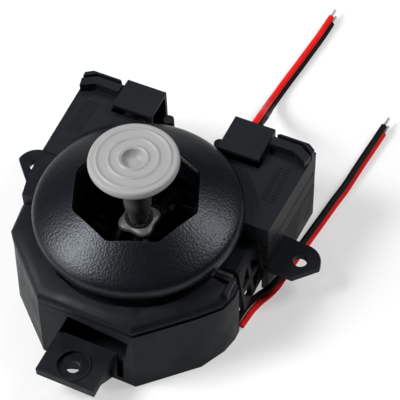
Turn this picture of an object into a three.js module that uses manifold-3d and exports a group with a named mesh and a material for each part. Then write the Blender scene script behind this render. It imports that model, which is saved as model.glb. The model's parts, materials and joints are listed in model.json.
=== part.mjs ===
// A thumbstick module for a game controller, in millimetres.
// X is right, Y is back, Z is up. The origin is on the stick's axis, on the underside.

import * as THREE from 'three';
import { mergeVertices } from 'three/addons/utils/BufferGeometryUtils.js';
import Module from 'manifold-3d';

const wasm = await Module();
wasm.setup();

// ---------------------------------------------------------------- driving dimensions

const GAP = 0.3;                    // clearance between pieces that move or are cut to each other
const WALL = 1.3;                   // housing wall
const DEG = Math.PI / 180;

// heights of the housing's layers
const BASE_COVER_TOP = 1.5;
const WING_SPLIT_LOW = 9.7;
const WING_SPLIT_HIGH = 14.1;
const CASE_TOP = 14.5;
const MIDDLE_TOP = 16;
const WING_TOP = 19.5;
const RIM = 20;                     // underside of the dome's rim
const HOOD_TOP = 21.5;
const GATE_TOP = 26.4;
const EAR_TOP = 7.8;

// housing radii about the stick's axis
const DOME_RADIUS = 20;
const NECK_RADIUS = 18;
const BORE_RADIUS = 16.8;
const RECESS_CENTRE = [0.83, -1.71]; // of the crescent's outer edge
const GATE_RADIUS = 12;             // to the corners of the octagon
const WING_CLEARANCE_RADIUS = NECK_RADIUS + GAP;

// wings, hoods and ears
const WING_FRONT = 6;
const WING_BACK = 27;
const WING_FRONT_X = 24;
const WING_BACK_X = 24.9;
const WING_WALL = 1.2;
const CURB_RADIUS = 22.7;
const MARK_HEIGHT = 0.1;
const SEAM_WIDTH = 0.4;
const SEAM_DEPTH = 0.45;
const NOTCH_X = 17.2;               // inner wall of the right side opening
const NOTCH_FRONT = -5;
const HOOD_INNER_X = 7.5;
const HOOD_OUTER_X = 16.1;
const HOOD_FRONT_RIGHT = 19.2;
const HOOD_FRONT_LEFT = 20.6;
const HOOD_BACK = 27.7;
const HOOD_WALL = 0.9;
const EAR_X = 29.1;
const EAR_Y = 9.9;
const EAR_RADIUS = 4;
const EAR_THICKNESS = 1.4;
const EAR_HOLE_RADIUS = 1.4;
const FRONT_EAR_Y = -28.7;
const EAR_SEAT_RADIUS = 3;

// the stick and its mechanism
const PIVOT = 9;                    // height of the point that the stick tilts about
const CAP_TOP = 36.3;
const CAP_UNDERSIDE = 33.3;
const CAP_RADIUS = 8.5;
const POST_FOOT_RADIUS = 1.97;
const POST_MIDDLE_RADIUS = 2.65;    // widest, just above the collar
const POST_TOP_RADIUS = 2.45;
const JOURNAL_RADIUS = 1.2;
const POST_INNER = 8.8;             // journal posts, measured from the pivot
const POST_OUTER = 10.2;
const SIDE_ARCH_INNER = 6.9;
const SIDE_ARCH_OUTER = 8;
const ARCH_HALF_WIDTH = 3.2;
const SLOT_HALF_WIDTH = POST_FOOT_RADIUS + 0.33;

// gears between the rockers and the encoder wheels
const GEAR_MODULE = 0.675;
const PINION_TEETH = 8;
const SECTOR_TEETH = 32;            // of the full circle
const TEETH_ON_SECTOR = 5;
const ADDENDUM = 0.75;              // tooth height above the pitch circle, in modules
const DEDENDUM = 1.15;
const TOOTH_SHARE = 0.38;           // of the circular pitch, the rest is gap and play
const PRESSURE_ANGLE = 20 * DEG;
const SECTOR_DIRECTION = 15 * DEG;  // from level, up towards the pinion
const SECTOR_START = 12.2;
const SECTOR_THICKNESS = 1.2;
const GEAR_DISTANCE = GEAR_MODULE * (PINION_TEETH + SECTOR_TEETH) / 2;
const PINION_OUT = GEAR_DISTANCE * Math.cos(SECTOR_DIRECTION);
const PINION_UP = PIVOT + GEAR_DISTANCE * Math.sin(SECTOR_DIRECTION);
const WHEEL_RADIUS = 4.6;
const WHEEL_SLOTS = 16;
const RIGHT_WHEEL_X = 18.6;
const LEFT_WHEEL_Y = 22.4;
const WHEEL_THICKNESS = 0.8;
const AXLE_RADIUS = 0.9;
const PIN_RADIUS = 0.8;
const PIN_HALF_LENGTH = 3.7;
const COLLAR_INNER = Math.hypot(SIDE_ARCH_OUTER, ARCH_HALF_WIDTH) + 0.25;   // from the pivot
const COLLAR_THICKNESS = 0.7;
const COLLAR_TOP = PIVOT + COLLAR_INNER + COLLAR_THICKNESS;
const FOOT_BOTTOM = PIVOT - 4.1;    // underside of the stick's foot
const SPRING_TOP = 3.2;

// circuit board and the optical parts on it
const BOARD_TOP = 3.4;
const BOARD_THICKNESS = 1;
const OPTICS_OUTWARD = 3.1;         // beyond a wheel's axle
const EMITTER_BEHIND = 1.5;         // along a wheel's axle
const DETECTOR_AHEAD = 2.3;

// leads
const LEAD_RADIUS = 0.65;
const LEAD_REST = 0.7;              // height of a lead's centre when it lies on the table
const LEAD_ABOVE = 1.98;            // height of a lead that lies on its neighbour
const TIP_RADIUS = 0.35;
const TIP_LENGTH = 2.2;

// finishes: colour, roughness, metalness
const BLACK_PLASTIC = { color: 0x23262c, roughness: 0.55, metalness: 0 };
const DOME_PLASTIC = { color: 0x272a30, roughness: 0.62, metalness: 0 };
const CAP_PLASTIC = { color: 0xcdcdcb, roughness: 0.45, metalness: 0 };
const GREY_PLASTIC = { color: 0x6d6e70, roughness: 0.5, metalness: 0 };
const MECHANISM_PLASTIC = { color: 0x1d1e21, roughness: 0.5, metalness: 0 };
const STEEL = { color: 0xa8abb0, roughness: 0.35, metalness: 1 };
const TINNED_COPPER = { color: 0xc9cbcf, roughness: 0.35, metalness: 1 };
const BOARD_GREEN = { color: 0x1f5b38, roughness: 0.5, metalness: 0 };
const CHIP_BLACK = { color: 0x16171a, roughness: 0.6, metalness: 0 };
const RED_SLEEVE = { color: 0xe0262c, roughness: 0.4, metalness: 0 };
const BLACK_SLEEVE = { color: 0x151515, roughness: 0.45, metalness: 0 };

// ---------------------------------------------------------------- solids from three.js geometry

function solidFrom(geometry) {
  const bare = geometry.index ? geometry.toNonIndexed() : geometry.clone();
  bare.deleteAttribute('normal');
  bare.deleteAttribute('uv');
  const merged = mergeVertices(bare, 1e-5);
  return new wasm.Manifold(new wasm.Mesh({
    numProp: 3,
    vertProperties: Float32Array.from(merged.attributes.position.array),
    triVerts: Uint32Array.from(merged.index.array),
  }));
}

function geometryFrom(solid) {
  const mesh = solid.getMesh();
  const geometry = new THREE.BufferGeometry();
  geometry.setAttribute('position', new THREE.BufferAttribute(mesh.vertProperties, 3));
  geometry.setIndex(new THREE.BufferAttribute(mesh.triVerts, 1));
  geometry.computeVertexNormals();
  return geometry;
}

function join(first, ...others) {
  return others.reduce((sum, other) => sum.add(other), first);
}

function cut(first, ...others) {
  return others.reduce((rest, other) => rest.subtract(other), first);
}

// a box between two values on each axis, given in either order
function box(xs, ys, zs) {
  const low = [xs, ys, zs].map((pair) => Math.min(...pair));
  const high = [xs, ys, zs].map((pair) => Math.max(...pair));
  const geometry = new THREE.BoxGeometry(high[0] - low[0], high[1] - low[1], high[2] - low[2]);
  geometry.translate((low[0] + high[0]) / 2, (low[1] + high[1]) / 2, (low[2] + high[2]) / 2);
  return solidFrom(geometry);
}

// turns a geometry built along +Z so that it runs along the named axis
function alongAxis(geometry, axis) {
  if (axis === 'x') {
    geometry.applyMatrix4(new THREE.Matrix4().set(0, 0, 1, 0, 1, 0, 0, 0, 0, 1, 0, 0, 0, 0, 0, 1));
  }
  if (axis === 'y') {
    geometry.applyMatrix4(new THREE.Matrix4().set(0, 1, 0, 0, 0, 0, 1, 0, 1, 0, 0, 0, 0, 0, 0, 1));
  }
  return geometry;
}

// a plate of a THREE.Shape between two values on an axis.
// The shape's own x and y are X and Y for axis z, Y and Z for axis x, and Z and X for axis y.
function plate(shape, from, to, axis = 'z', curveSegments = 8) {
  const depth = Math.abs(to - from);
  const geometry = new THREE.ExtrudeGeometry(shape, { depth, bevelEnabled: false, curveSegments });
  geometry.translate(0, 0, Math.min(from, to));
  return solidFrom(alongAxis(geometry, axis));
}

function outline(points) {
  return new THREE.Shape(points.map(([x, y]) => new THREE.Vector2(x, y)));
}

function prism(points, from, to, axis = 'z') {
  return plate(outline(points), from, to, axis);
}

// a round bar along an axis; centre gives the two other coordinates in the order used by plate
function bar(radius, centre, from, to, axis = 'z', segments = 20) {
  const circle = Array.from({ length: segments }, (_, i) => {
    const angle = (i / segments) * 2 * Math.PI;
    return [centre[0] + radius * Math.cos(angle), centre[1] + radius * Math.sin(angle)];
  });
  return prism(circle, from, to, axis);
}

// a round body about the stick's axis, from [radius, height] pairs that start and end on the axis
// or close on themselves
function turned(profile, segments = 32) {
  const points = profile.map(([radius, height]) => new THREE.Vector2(radius, height));
  const geometry = new THREE.LatheGeometry(points, segments);
  geometry.rotateX(Math.PI / 2);
  return solidFrom(geometry);
}

// a body between two outlines with the same number of points, at two heights
function loft(lower, upper, from, to) {
  const count = lower.length;
  const positions = [...lower.map(([x, y]) => [x, y, from]), ...upper.map(([x, y]) => [x, y, to])];
  const faces = THREE.ShapeUtils.triangulateShape(lower.map(([x, y]) => new THREE.Vector2(x, y)), []);
  const triangles = [];
  for (const [a, b, c] of faces) {
    triangles.push(a, c, b, a + count, b + count, c + count);
  }
  for (let i = 0; i < count; i += 1) {
    const next = (i + 1) % count;
    triangles.push(i, next, next + count, i, next + count, i + count);
  }
  const geometry = new THREE.BufferGeometry();
  geometry.setAttribute('position', new THREE.Float32BufferAttribute(positions.flat(), 3));
  geometry.setIndex(triangles);
  return solidFrom(geometry);
}

// points of an arc, from one angle to another in degrees
function arc(cx, cy, radius, start, end, steps) {
  return Array.from({ length: steps + 1 }, (_, i) => {
    const angle = (start + ((end - start) * i) / steps) * DEG;
    return [cx + radius * Math.cos(angle), cy + radius * Math.sin(angle)];
  });
}

// the same outline on the right side (1) or the left side (-1); a left outline is put back
// in counter-clockwise order
function onSide(side, points) {
  const placed = points.map(([x, y]) => [side * x, y]);
  return side > 0 ? placed : placed.reverse();
}

// ---------------------------------------------------------------- the assembly

const thumbstick = new THREE.Group();

function addPiece(name, solid, finish) {
  const mesh = new THREE.Mesh(geometryFrom(solid), new THREE.MeshStandardMaterial(finish));
  mesh.name = name;
  thumbstick.add(mesh);
}

// ---------------------------------------------------------------- housing

// halves of the front case's outline, from the front face round to the side; the left half
// is written with its X mirrored
const FRONT_BASE = {
  right: [[10.2, -24.2], [19.6, -15.2], [22.2, -10.2], [22.9, -7], [22.9, NOTCH_FRONT]],
  left: [[9.6, -24.2], [20, -15], [21.6, -11.2], [22.6, -8], [22.9, NOTCH_FRONT]],
};
const FRONT_TOP = {
  right: [[9.6, -22.8], [18.6, -14.2], [22.2, -10.2], [23, -7], [22.9, NOTCH_FRONT]],
  left: [[9.8, -22.8], [20.4, -13], [21.6, -11.6], [22.2, -8], [22.6, NOTCH_FRONT]],
};
const FRONT_INNER = {
  right: [[9, -21.4], [17.7, -13.1], [20.8, -9.5], [21.5, -7], [21.5, -6.3]],
  left: [[9, -21.4], [17.9, -13], [20.3, -9.5], [21, -7], [21.3, -6.3]],
};

// the apron closes in over the case: [share of the outline, height]
const APRON_STEPS = [[1, MIDDLE_TOP], [0.988, 16.6], [0.962, 17.1], [0.915, 17.5], [0.8, 18]];

// the left side has no opening: its wall runs on to the wing
const LEFT_WALL = [[-24, WING_FRONT], [-23.6, 2]];

function frontOutline(halves, rear) {
  const left = halves.left.map(([x, y]) => [-x, y]).reverse();
  return [...left, ...halves.right, ...rear];
}

const NOTCH_REAR = [[NOTCH_X, NOTCH_FRONT], [NOTCH_X, 8], [-24, 8], ...LEFT_WALL];

function wingOutline(side, inset = 0) {
  return onSide(side, [
    [22.7 + inset, WING_FRONT + inset],
    [WING_FRONT_X - inset, WING_FRONT + inset],
    [WING_BACK_X - inset, WING_BACK - inset],
    [0, WING_BACK - inset],
    [0, 7.6 + inset],
    [22.7 + inset, 7.6 + inset],
  ]);
}

function earOutline(side) {
  const rounded = arc(EAR_X, EAR_Y, EAR_RADIUS, 0, 95, 8);
  return onSide(side, [[23.4, 5.8], [29.1, 5.7], ...rounded, [23.4, 14.3]]);
}

// corners that the case screws stand in
const SCREW_PLACES = [[-15.5, -12.2], [15.5, -12.2], [-21, 23], [21, 23]];
const BOSS_RADIUS = 2;
const SCREW_SHANK = 0.9;
const SCREW_HEAD = 1.8;
const SCREW_HEAD_HEIGHT = 0.8;
const SCREW_LENGTH = 6;

// recess in the front face above the ear: its mouth as [Z, X] corners, and the hollow behind it
const POCKET_MOUTH = [[EAR_TOP, -5.8], [EAR_TOP, 8.1], [12.4, 8.7], [13.8, -3.2], [13.8, -3.6]];
const POCKET_SILL = -23;
const POCKET_BACK = -17.8;
const POCKET_FLOOR = 3.2;

function lowerCase() {
  const front = loft(
    frontOutline(FRONT_BASE, NOTCH_REAR),
    frontOutline(FRONT_TOP, NOTCH_REAR),
    0, CASE_TOP,
  );
  const wings = [1, -1].map((side) => prism(wingOutline(side), 0, WING_SPLIT_LOW));
  const innerRear = [[15.9, -6.3], [15.9, 9], [-22.7, 9], [-22.4, 2]];
  const frontCavity = prism(frontOutline(FRONT_INNER, innerRear), -1, CASE_TOP + 1);
  const wingCavities = [1, -1].map((side) => prism(onSide(side, [
    [-1, 7],
    [15.9, 7],
    [15.9, 8.3],
    [22.6, 8.3],
    [23.6, WING_BACK - WALL],
    [-1, WING_BACK - WALL],
  ]), -1, WING_SPLIT_LOW + 1));
  let body = cut(join(front, ...wings), frontCavity, ...wingCavities);
  // the front case is open to the rear above the wings' lower layer
  body = cut(body, box([-30, 30], [WING_FRONT, 30], [WING_SPLIT_LOW, CASE_TOP + 1]));
  // deck across the back, between the hoods, with two round-topped latch posts
  body = join(body, box([-7, 7], [20.8, WING_BACK - WALL], [WING_SPLIT_LOW - 1.2, WING_SPLIT_LOW]));
  for (const [x, top] of [[5.9, 17], [-5.1, 19]]) {
    body = join(body, bar(1.1, [x, 23.4], WING_SPLIT_LOW - 1.2, top, 'z', 14));
  }
  for (const side of [1, -1]) {
    body = join(body, prism(earOutline(side), EAR_TOP - EAR_THICKNESS, EAR_TOP));
    body = cut(body, bar(EAR_HOLE_RADIUS, [side * EAR_X, EAR_Y], 0, EAR_TOP + 1));
  }
  // front ear on its wedge, with a counterbored hole
  const wedge = prism([[-31, 5.9], [-22.8, 5.9], [-22.8, 0], [-24.2, 0]], -5.2, 5.2, 'x');
  const shelf = box([-6, 6], [-32.2, POCKET_SILL], [EAR_TOP - 2, EAR_TOP]);
  const seatRim = bar(EAR_SEAT_RADIUS + 0.45, [0, FRONT_EAR_Y], EAR_TOP - 1, EAR_TOP + 0.15, 'z', 28);
  const pocketLiner = box([-7, 9.8], [-22.4, POCKET_BACK + 1.2], [POCKET_FLOOR - 1.2, CASE_TOP]);
  body = join(body, wedge, shelf, seatRim, pocketLiner);
  body = cut(
    body,
    prism(POCKET_MOUTH, -26, POCKET_BACK, 'y'),
    box([-5.8, 8.1], [POCKET_SILL, POCKET_BACK], [POCKET_FLOOR, EAR_TOP + 0.1]),
    box([6.3, 7.6], [-26, -20], [1.2, EAR_TOP + 0.1]),
    bar(EAR_SEAT_RADIUS, [0, FRONT_EAR_Y], EAR_TOP - 0.6, EAR_TOP + 1, 'z', 28),
    bar(1.3, [0, FRONT_EAR_Y], -1, EAR_TOP + 1),
    bar(2.6, [0, FRONT_EAR_Y], -1, EAR_TOP - 1.7),
  );
  for (const [x, y] of SCREW_PLACES) {
    const boss = bar(BOSS_RADIUS, [x, y], BASE_COVER_TOP, 9.2, 'z', 16);
    const web = box([x, x + 3.6 * Math.sign(x)], [y - 0.6, y + 0.6], [BASE_COVER_TOP, 9]);
    body = join(body, boss, web.intersect(prism(
      y < 0 ? frontOutline(FRONT_TOP, NOTCH_REAR) : wingOutline(Math.sign(x), 0.2), 0, 9.2,
    )));
    body = cut(body, bar(SCREW_SHANK + GAP, [x, y], 0, 8));
  }
  return body;
}

function baseCover() {
  const half = [[8.8, -21.1], [17.5, -12.9], [20.1, -9.4], [20.8, -7], [21, -6.6]];
  const front = frontOutline(
    { right: half, left: half },
    [[15.6, -6.6], [15.6, 8], [-22.4, 8], [-22.1, 2]],
  );
  const rear = [[-22.4, 7.9], [15.6, 7.9], [15.6, 9.2], [22.3, 9.2], [23.3, 25.4], [-23.3, 25.4]];
  let cover = join(prism(front, 0, BASE_COVER_TOP), prism(rear, 0, BASE_COVER_TOP));
  for (const [x, y] of SCREW_PLACES) {
    cover = cut(
      cover,
      bar(SCREW_SHANK + GAP, [x, y], -1, BASE_COVER_TOP + 1),
      bar(SCREW_HEAD + GAP, [x, y], -1, SCREW_HEAD_HEIGHT),
    );
  }
  return cover;
}

function caseScrew(x, y) {
  const head = bar(SCREW_HEAD, [x, y], 0.1, SCREW_HEAD_HEIGHT - 0.05, 'z', 18);
  const shank = bar(SCREW_SHANK, [x, y], 0.1, SCREW_LENGTH, 'z', 14);
  const slotLong = box([x - 1.2, x + 1.2], [y - 0.2, y + 0.2], [0, 0.45]);
  const slotCross = box([x - 0.2, x + 0.2], [y - 1.2, y + 1.2], [0, 0.45]);
  return cut(join(head, shank), slotLong, slotCross);
}

// the front outline above the case: flush with it on the left, set back a little on the right
function frontRim(shareRight, shareLeft, sideY) {
  const scaled = (half, share, x) => [
    ...half.slice(0, 4).map((point) => point.map((value) => value * share)),
    [x * share, sideY],
  ];
  return {
    right: scaled(FRONT_TOP.right, shareRight, 22.9),
    left: scaled(FRONT_TOP.left, shareLeft, 22.6),
  };
}

function middleFrame() {
  const sideY = NOTCH_FRONT - 0.4;
  const rear = [[17.2, sideY], [17, 1], [-17, 1], [-17.2, sideY]];
  const front = prism(frontOutline(frontRim(0.985, 0.999, sideY), rear), CASE_TOP, MIDDLE_TOP);
  const disc = bar(NECK_RADIUS, [0, 0], CASE_TOP, MIDDLE_TOP, 'z', 48);
  const bore = bar(BORE_RADIUS, [0, 0], CASE_TOP - 1, MIDDLE_TOP + 1, 'z', 48);
  // the ring stops short of the pinions
  const rearOpening = box([-20, 20], [PINION_OUT - 3.5, 20], [CASE_TOP - 1, MIDDLE_TOP + 1]);
  return cut(join(front, disc), bore, rearOpening);
}

function upperCase() {
  const sideY = NOTCH_FRONT - 0.4;
  const rear = [[17.5, sideY], [17.5, 1], [-17.5, 1], [-17.5, sideY]];
  const rims = APRON_STEPS.map(([share]) => frontOutline(frontRim(share, share, sideY), rear));
  let apron = loft(rims[0], rims[1], APRON_STEPS[0][1], APRON_STEPS[1][1]);
  for (let i = 1; i + 1 < rims.length; i += 1) {
    apron = join(apron, loft(rims[i], rims[i + 1], APRON_STEPS[i][1], APRON_STEPS[i + 1][1]));
  }
  const neck = bar(NECK_RADIUS, [0, 0], MIDDLE_TOP, RIM, 'z', 48);
  // rib at the end of the apron, beside the side opening
  const rib = box([17.5, 22.5], [-6.4, -5.4], [MIDDLE_TOP, 18.3]);
  const ribReturn = box([21.7, 22.5], [-9, -5.4], [MIDDLE_TOP, 18.3]);
  // rear bridge with its skirt, between the hoods
  const bridge = box([-6.9, 6.9], [15, 20.5], [MIDDLE_TOP, 17]);
  const skirt = box([-6.9, 6.9], [19.4, 20.5], [WING_SPLIT_LOW, 17]);
  const bore = bar(BORE_RADIUS, [0, 0], MIDDLE_TOP - 1, RIM + 1, 'z', 48);
  // crescent-shaped recess round the front of the neck
  const [recessX, recessY] = RECESS_CENTRE;
  const recess = prism([
    ...arc(recessX, recessY, NECK_RADIUS + 0.2, -150, 20, 28),
    ...arc(0, 0, BORE_RADIUS + 0.6, 20, -150, 28),
  ], MIDDLE_TOP + 0.4, RIM - 1);
  return cut(join(apron, neck, rib, ribReturn, bridge, skirt), recess, bore);
}

// outer surface of the dome, from the rim up to the edge of the gate
const DOME_PROFILE = [
  [DOME_RADIUS, RIM], [DOME_RADIUS, 21.6], [19.8, 22.3], [19, 23.1],
  [17, 24.25], [15, 25.25], [12.6, GATE_TOP],
];

function octagon(radius) {
  return arc(0, 0, radius, 0, 315, 7);
}

function domeGate() {
  const shell = 1.3;
  const outer = turned([[0, RIM], ...DOME_PROFILE, [0, GATE_TOP]], 56);
  const inside = DOME_PROFILE.slice(2).map(([radius, height]) => [radius - shell, height - shell]);
  const cavity = turned([
    [0, RIM - 1], [BORE_RADIUS, RIM - 1], [BORE_RADIUS, RIM + 1.2], [DOME_RADIUS - 1.5, RIM + 1.2],
    ...inside, [0, GATE_TOP - shell],
  ], 40);
  const throatWall = prism(octagon(GATE_RADIUS + 1.3), 21, GATE_TOP - shell / 2);
  const throat = loft(octagon(GATE_RADIUS - 0.3), octagon(GATE_RADIUS), 20.5, 25.8);
  const bevel = loft(octagon(GATE_RADIUS), octagon(GATE_RADIUS + 0.9), 25.7, GATE_TOP + 0.2);
  return cut(join(cut(outer, cavity), throatWall), throat, bevel);
}

function hoodFront(side) {
  return side > 0 ? HOOD_FRONT_RIGHT : HOOD_FRONT_LEFT;
}

function wingCover(side) {
  const front = hoodFront(side);
  const ring = arc(0, 0, WING_CLEARANCE_RADIUS, 18, 66, 14);
  const topOutline = onSide(side, [
    [WING_FRONT_X, WING_FRONT],
    [WING_BACK_X, WING_BACK],
    [HOOD_OUTER_X + GAP, WING_BACK],
    [HOOD_OUTER_X + GAP, front - GAP],
    [HOOD_INNER_X, front - GAP],
    ...ring.slice().reverse(),
    [WING_CLEARANCE_RADIUS * Math.cos(18 * DEG), WING_FRONT],
  ]);
  const body = prism(topOutline, WING_SPLIT_HIGH, WING_TOP);
  const hollow = prism(onSide(side, [
    [WING_FRONT_X - WING_WALL, WING_FRONT + WING_WALL],
    [WING_BACK_X - WING_WALL, WING_BACK - WING_WALL],
    [0, WING_BACK - WING_WALL],
    [0, WING_FRONT + WING_WALL],
  ]), WING_SPLIT_HIGH - 1, WING_TOP - WING_WALL);
  // rail with a bevelled outer end, and a low ridge behind a groove
  const railOutline = onSide(side, [
    [16.4, 24], [21.6, 24], [24.3, 22.4], [WING_BACK_X - 0.1, 24.3], [22, 25.9], [16.4, 25.9],
  ]);
  const ridgeOutline = onSide(side, [
    [16.9, 26.6], [22.4, 26.6], [24.8, 24.9], [WING_BACK_X, 26], [23.4, WING_BACK], [17.4, WING_BACK],
  ]);
  const rail = prism(railOutline, WING_TOP - 0.2, HOOD_TOP);
  const ridge = prism(ridgeOutline, WING_TOP - 0.2, HOOD_TOP);
  const shelf = box([side * 16.4, side * 22.6], [25.8, 26.8], [WING_TOP - 0.2, WING_TOP + 0.9]);
  // low curb round the dome, and two rows of short ribs beside it
  const curb = prism(onSide(side, [
    ...arc(0, 0, CURB_RADIUS, 27, 50, 8),
    ...arc(0, 0, CURB_RADIUS - 0.35, 50, 27, 8),
  ]), WING_TOP - 0.2, WING_TOP + MARK_HEIGHT);
  const ribs = [];
  for (const rowX of [19.4, 21.1]) {
    for (let y = 12.4; y < 21; y += 0.75) {
      const across = [side * rowX, side * (rowX + 1.2)];
      ribs.push(box(across, [y, y + 0.3], [WING_TOP - 0.2, WING_TOP + MARK_HEIGHT]));
    }
  }
  // room for the end of the side bracket
  const bracketRoom = box([side * 15, side * 22.7], [0, 7.6], [WING_SPLIT_HIGH - 1, 15 + GAP]);
  return join(cut(body, hollow, bracketRoom), rail, ridge, shelf, curb, ...ribs);
}

function wingFrame(side) {
  const outer = prism(onSide(side, [
    [22.7, WING_FRONT],
    [WING_FRONT_X, WING_FRONT],
    [WING_BACK_X, WING_BACK],
    [HOOD_OUTER_X + GAP, WING_BACK],
    [HOOD_OUTER_X + GAP, 7.6],
    [22.7, 7.6],
  ]), WING_SPLIT_LOW, WING_SPLIT_HIGH);
  const hollow = prism(onSide(side, [
    [WING_FRONT_X - WING_WALL, 8.2],
    [WING_BACK_X - WING_WALL, WING_BACK - WING_WALL],
    [15, WING_BACK - WING_WALL],
    [15, 8.2],
  ]), WING_SPLIT_LOW - 1, WING_SPLIT_HIGH + 1);
  // a groove along each seam
  const band = cut(prism(wingOutline(side, -1), 0, 30), prism(wingOutline(side, SEAM_DEPTH), -1, 31));
  const grooves = [WING_SPLIT_LOW, WING_SPLIT_HIGH].map((height) => {
    const heights = [height - SEAM_WIDTH / 2, height + SEAM_WIDTH / 2];
    return band.intersect(box([-40, 40], [-40, 40], heights));
  });
  return cut(outer, hollow, ...grooves);
}

function hood(side) {
  const front = hoodFront(side);
  const body = box(
    [side * HOOD_INNER_X, side * HOOD_OUTER_X],
    [front, HOOD_BACK],
    [WING_SPLIT_LOW, HOOD_TOP],
  );
  // the left hood is open towards the middle
  const innerX = side > 0 ? HOOD_INNER_X + HOOD_WALL : HOOD_INNER_X - 1;
  const hollow = box(
    [side * innerX, side * (HOOD_OUTER_X - HOOD_WALL)],
    [front + HOOD_WALL, HOOD_BACK - HOOD_WALL],
    [WING_SPLIT_LOW - 1, HOOD_TOP - HOOD_WALL],
  );
  const openOuterSide = box(
    [side * (HOOD_OUTER_X - 2), side * (HOOD_OUTER_X + 1)],
    [front - 1, WING_BACK - WING_WALL],
    [WING_SPLIT_LOW - 1, WING_TOP - WING_WALL],
  );
  const openFront = box(
    [side * (HOOD_INNER_X + HOOD_WALL), side * (HOOD_OUTER_X + 1)],
    [front - 1, front + 2],
    [WING_SPLIT_LOW - 1, HOOD_TOP - HOOD_WALL],
  );
  const rearLedge = box(
    [side * (HOOD_INNER_X - 1), side * (HOOD_OUTER_X + 1)],
    [HOOD_BACK - HOOD_WALL - 0.1, WING_BACK],
    [WING_SPLIT_LOW - 1, WING_SPLIT_LOW],
  );
  return cut(body, hollow, openOuterSide, openFront, rearLedge);
}

function sideCoverLeft() {
  const ring = arc(0, 0, WING_CLEARANCE_RADIUS, 162, 197, 8);
  const points = [[-24, WING_FRONT - 0.05], ...ring, [-22.4, -5.2], [-23.3, -1.7], [-23.9, 2.4]];
  const body = prism(points, CASE_TOP, WING_TOP);
  const inner = [
    [-22.7, WING_FRONT - WING_WALL], [-19.6, WING_FRONT - WING_WALL], [-19.6, -3.6],
    [-21.6, -3.6], [-22.4, 2.4],
  ];
  return cut(body, prism(inner, CASE_TOP - 1, WING_TOP - WING_WALL));
}

// the bracket in the right side opening: a top plate and a leaning side face with four windows
function sideBracketRight() {
  const front = -2;
  const back = 6.4;
  const top = 15;
  const bottom = 2.9;
  const topX = 21.4;
  const bottomX = 22.7;
  const thickness = 1.1;
  const inner = NOTCH_X + 0.05;
  const section = [
    [inner, top - 1.2], [topX - thickness, top - 1.2], [bottomX - thickness, bottom], [bottomX, bottom],
    [topX + 0.1, top - 0.6], [topX - 0.5, top], [18.5, top], [18.5, top - 0.6], [inner, top - 0.6],
  ];
  // plate() reads Z first and X second for the y axis
  let bracket = prism(section.map(([x, z]) => [z, x]), front, back, 'y');
  // windows in the four quarters round an upright and a level bar
  const centre = [2.2, 8.1];
  const corner = [[0.6, 0.75], [0.6, 4.3], [1.2, 4.3], [3.4, 1.7], [3.4, 0.75]];
  for (const [along, up] of [[1, 1], [-1, 1], [-1, -1], [1, -1]]) {
    const window = corner.map(([y, z]) => [centre[0] + along * y, centre[1] + up * z]);
    bracket = cut(bracket, prism(window, topX - 2, bottomX + 1, 'x'));
  }
  return bracket;
}

// ---------------------------------------------------------------- gears

// involute outline of one tooth, symmetric about angle 0, from root to tip on each side
function toothFlank(teeth, addendum) {
  const pitch = GEAR_MODULE * teeth / 2;
  const base = pitch * Math.cos(PRESSURE_ANGLE);
  const root = pitch - DEDENDUM * GEAR_MODULE;
  const tip = pitch + addendum * GEAR_MODULE;
  const halfThickness = (TOOTH_SHARE / 2) * Math.PI * GEAR_MODULE / pitch;
  const involute = (angle) => Math.tan(angle) - angle;
  const start = Math.max(base, root);
  const flank = [];
  for (let i = 0; i <= 2; i += 1) {
    const radius = start + ((tip - start) * i) / 2;
    const slope = Math.acos(Math.min(1, base / radius));
    const angle = halfThickness + involute(PRESSURE_ANGLE) - involute(slope);
    flank.push([radius, angle]);
  }
  return base > root ? [[root, flank[0][1]], ...flank] : flank;
}

// gear outline about the origin; angles are in the outline's own plane
function gearPoints(teeth, addendum, count, middleAngle) {
  const flank = toothFlank(teeth, addendum);
  const points = [];
  for (let i = 0; i < count; i += 1) {
    const centre = middleAngle + ((i - (count - 1) / 2) * 2 * Math.PI) / teeth;
    flank.forEach(([radius, angle]) => points.push([radius, centre - angle]));
    flank.slice().reverse().forEach(([radius, angle]) => points.push([radius, centre + angle]));
  }
  return points.map(([radius, angle]) => [radius * Math.cos(angle), radius * Math.sin(angle)]);
}

// toothed sector on its arm, in the plane across the rocker's axis, teeth towards the pinion
function sectorPoints(swap) {
  const hub = arc(0, 0, 2.4, 100 + SECTOR_DIRECTION / DEG, 260 + SECTOR_DIRECTION / DEG, 6);
  const teeth = gearPoints(SECTOR_TEETH, ADDENDUM, TEETH_ON_SECTOR, SECTOR_DIRECTION);
  const points = [...teeth, ...hub].map(([out, up]) => [out, up + PIVOT]);
  return swap ? points.map(([out, up]) => [up, -out]) : points;
}

// pinion teeth about the wheel's axle; the even tooth count leaves a gap towards the sector
function pinionPoints(swap) {
  const facing = SECTOR_DIRECTION + Math.PI;
  const points = gearPoints(PINION_TEETH, ADDENDUM, PINION_TEETH, facing);
  return points.map(([out, up]) => {
    const placed = [out + PINION_OUT, up + PINION_UP];
    return swap ? [placed[1], -placed[0]] : placed;
  });
}

// ---------------------------------------------------------------- mechanism

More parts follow.
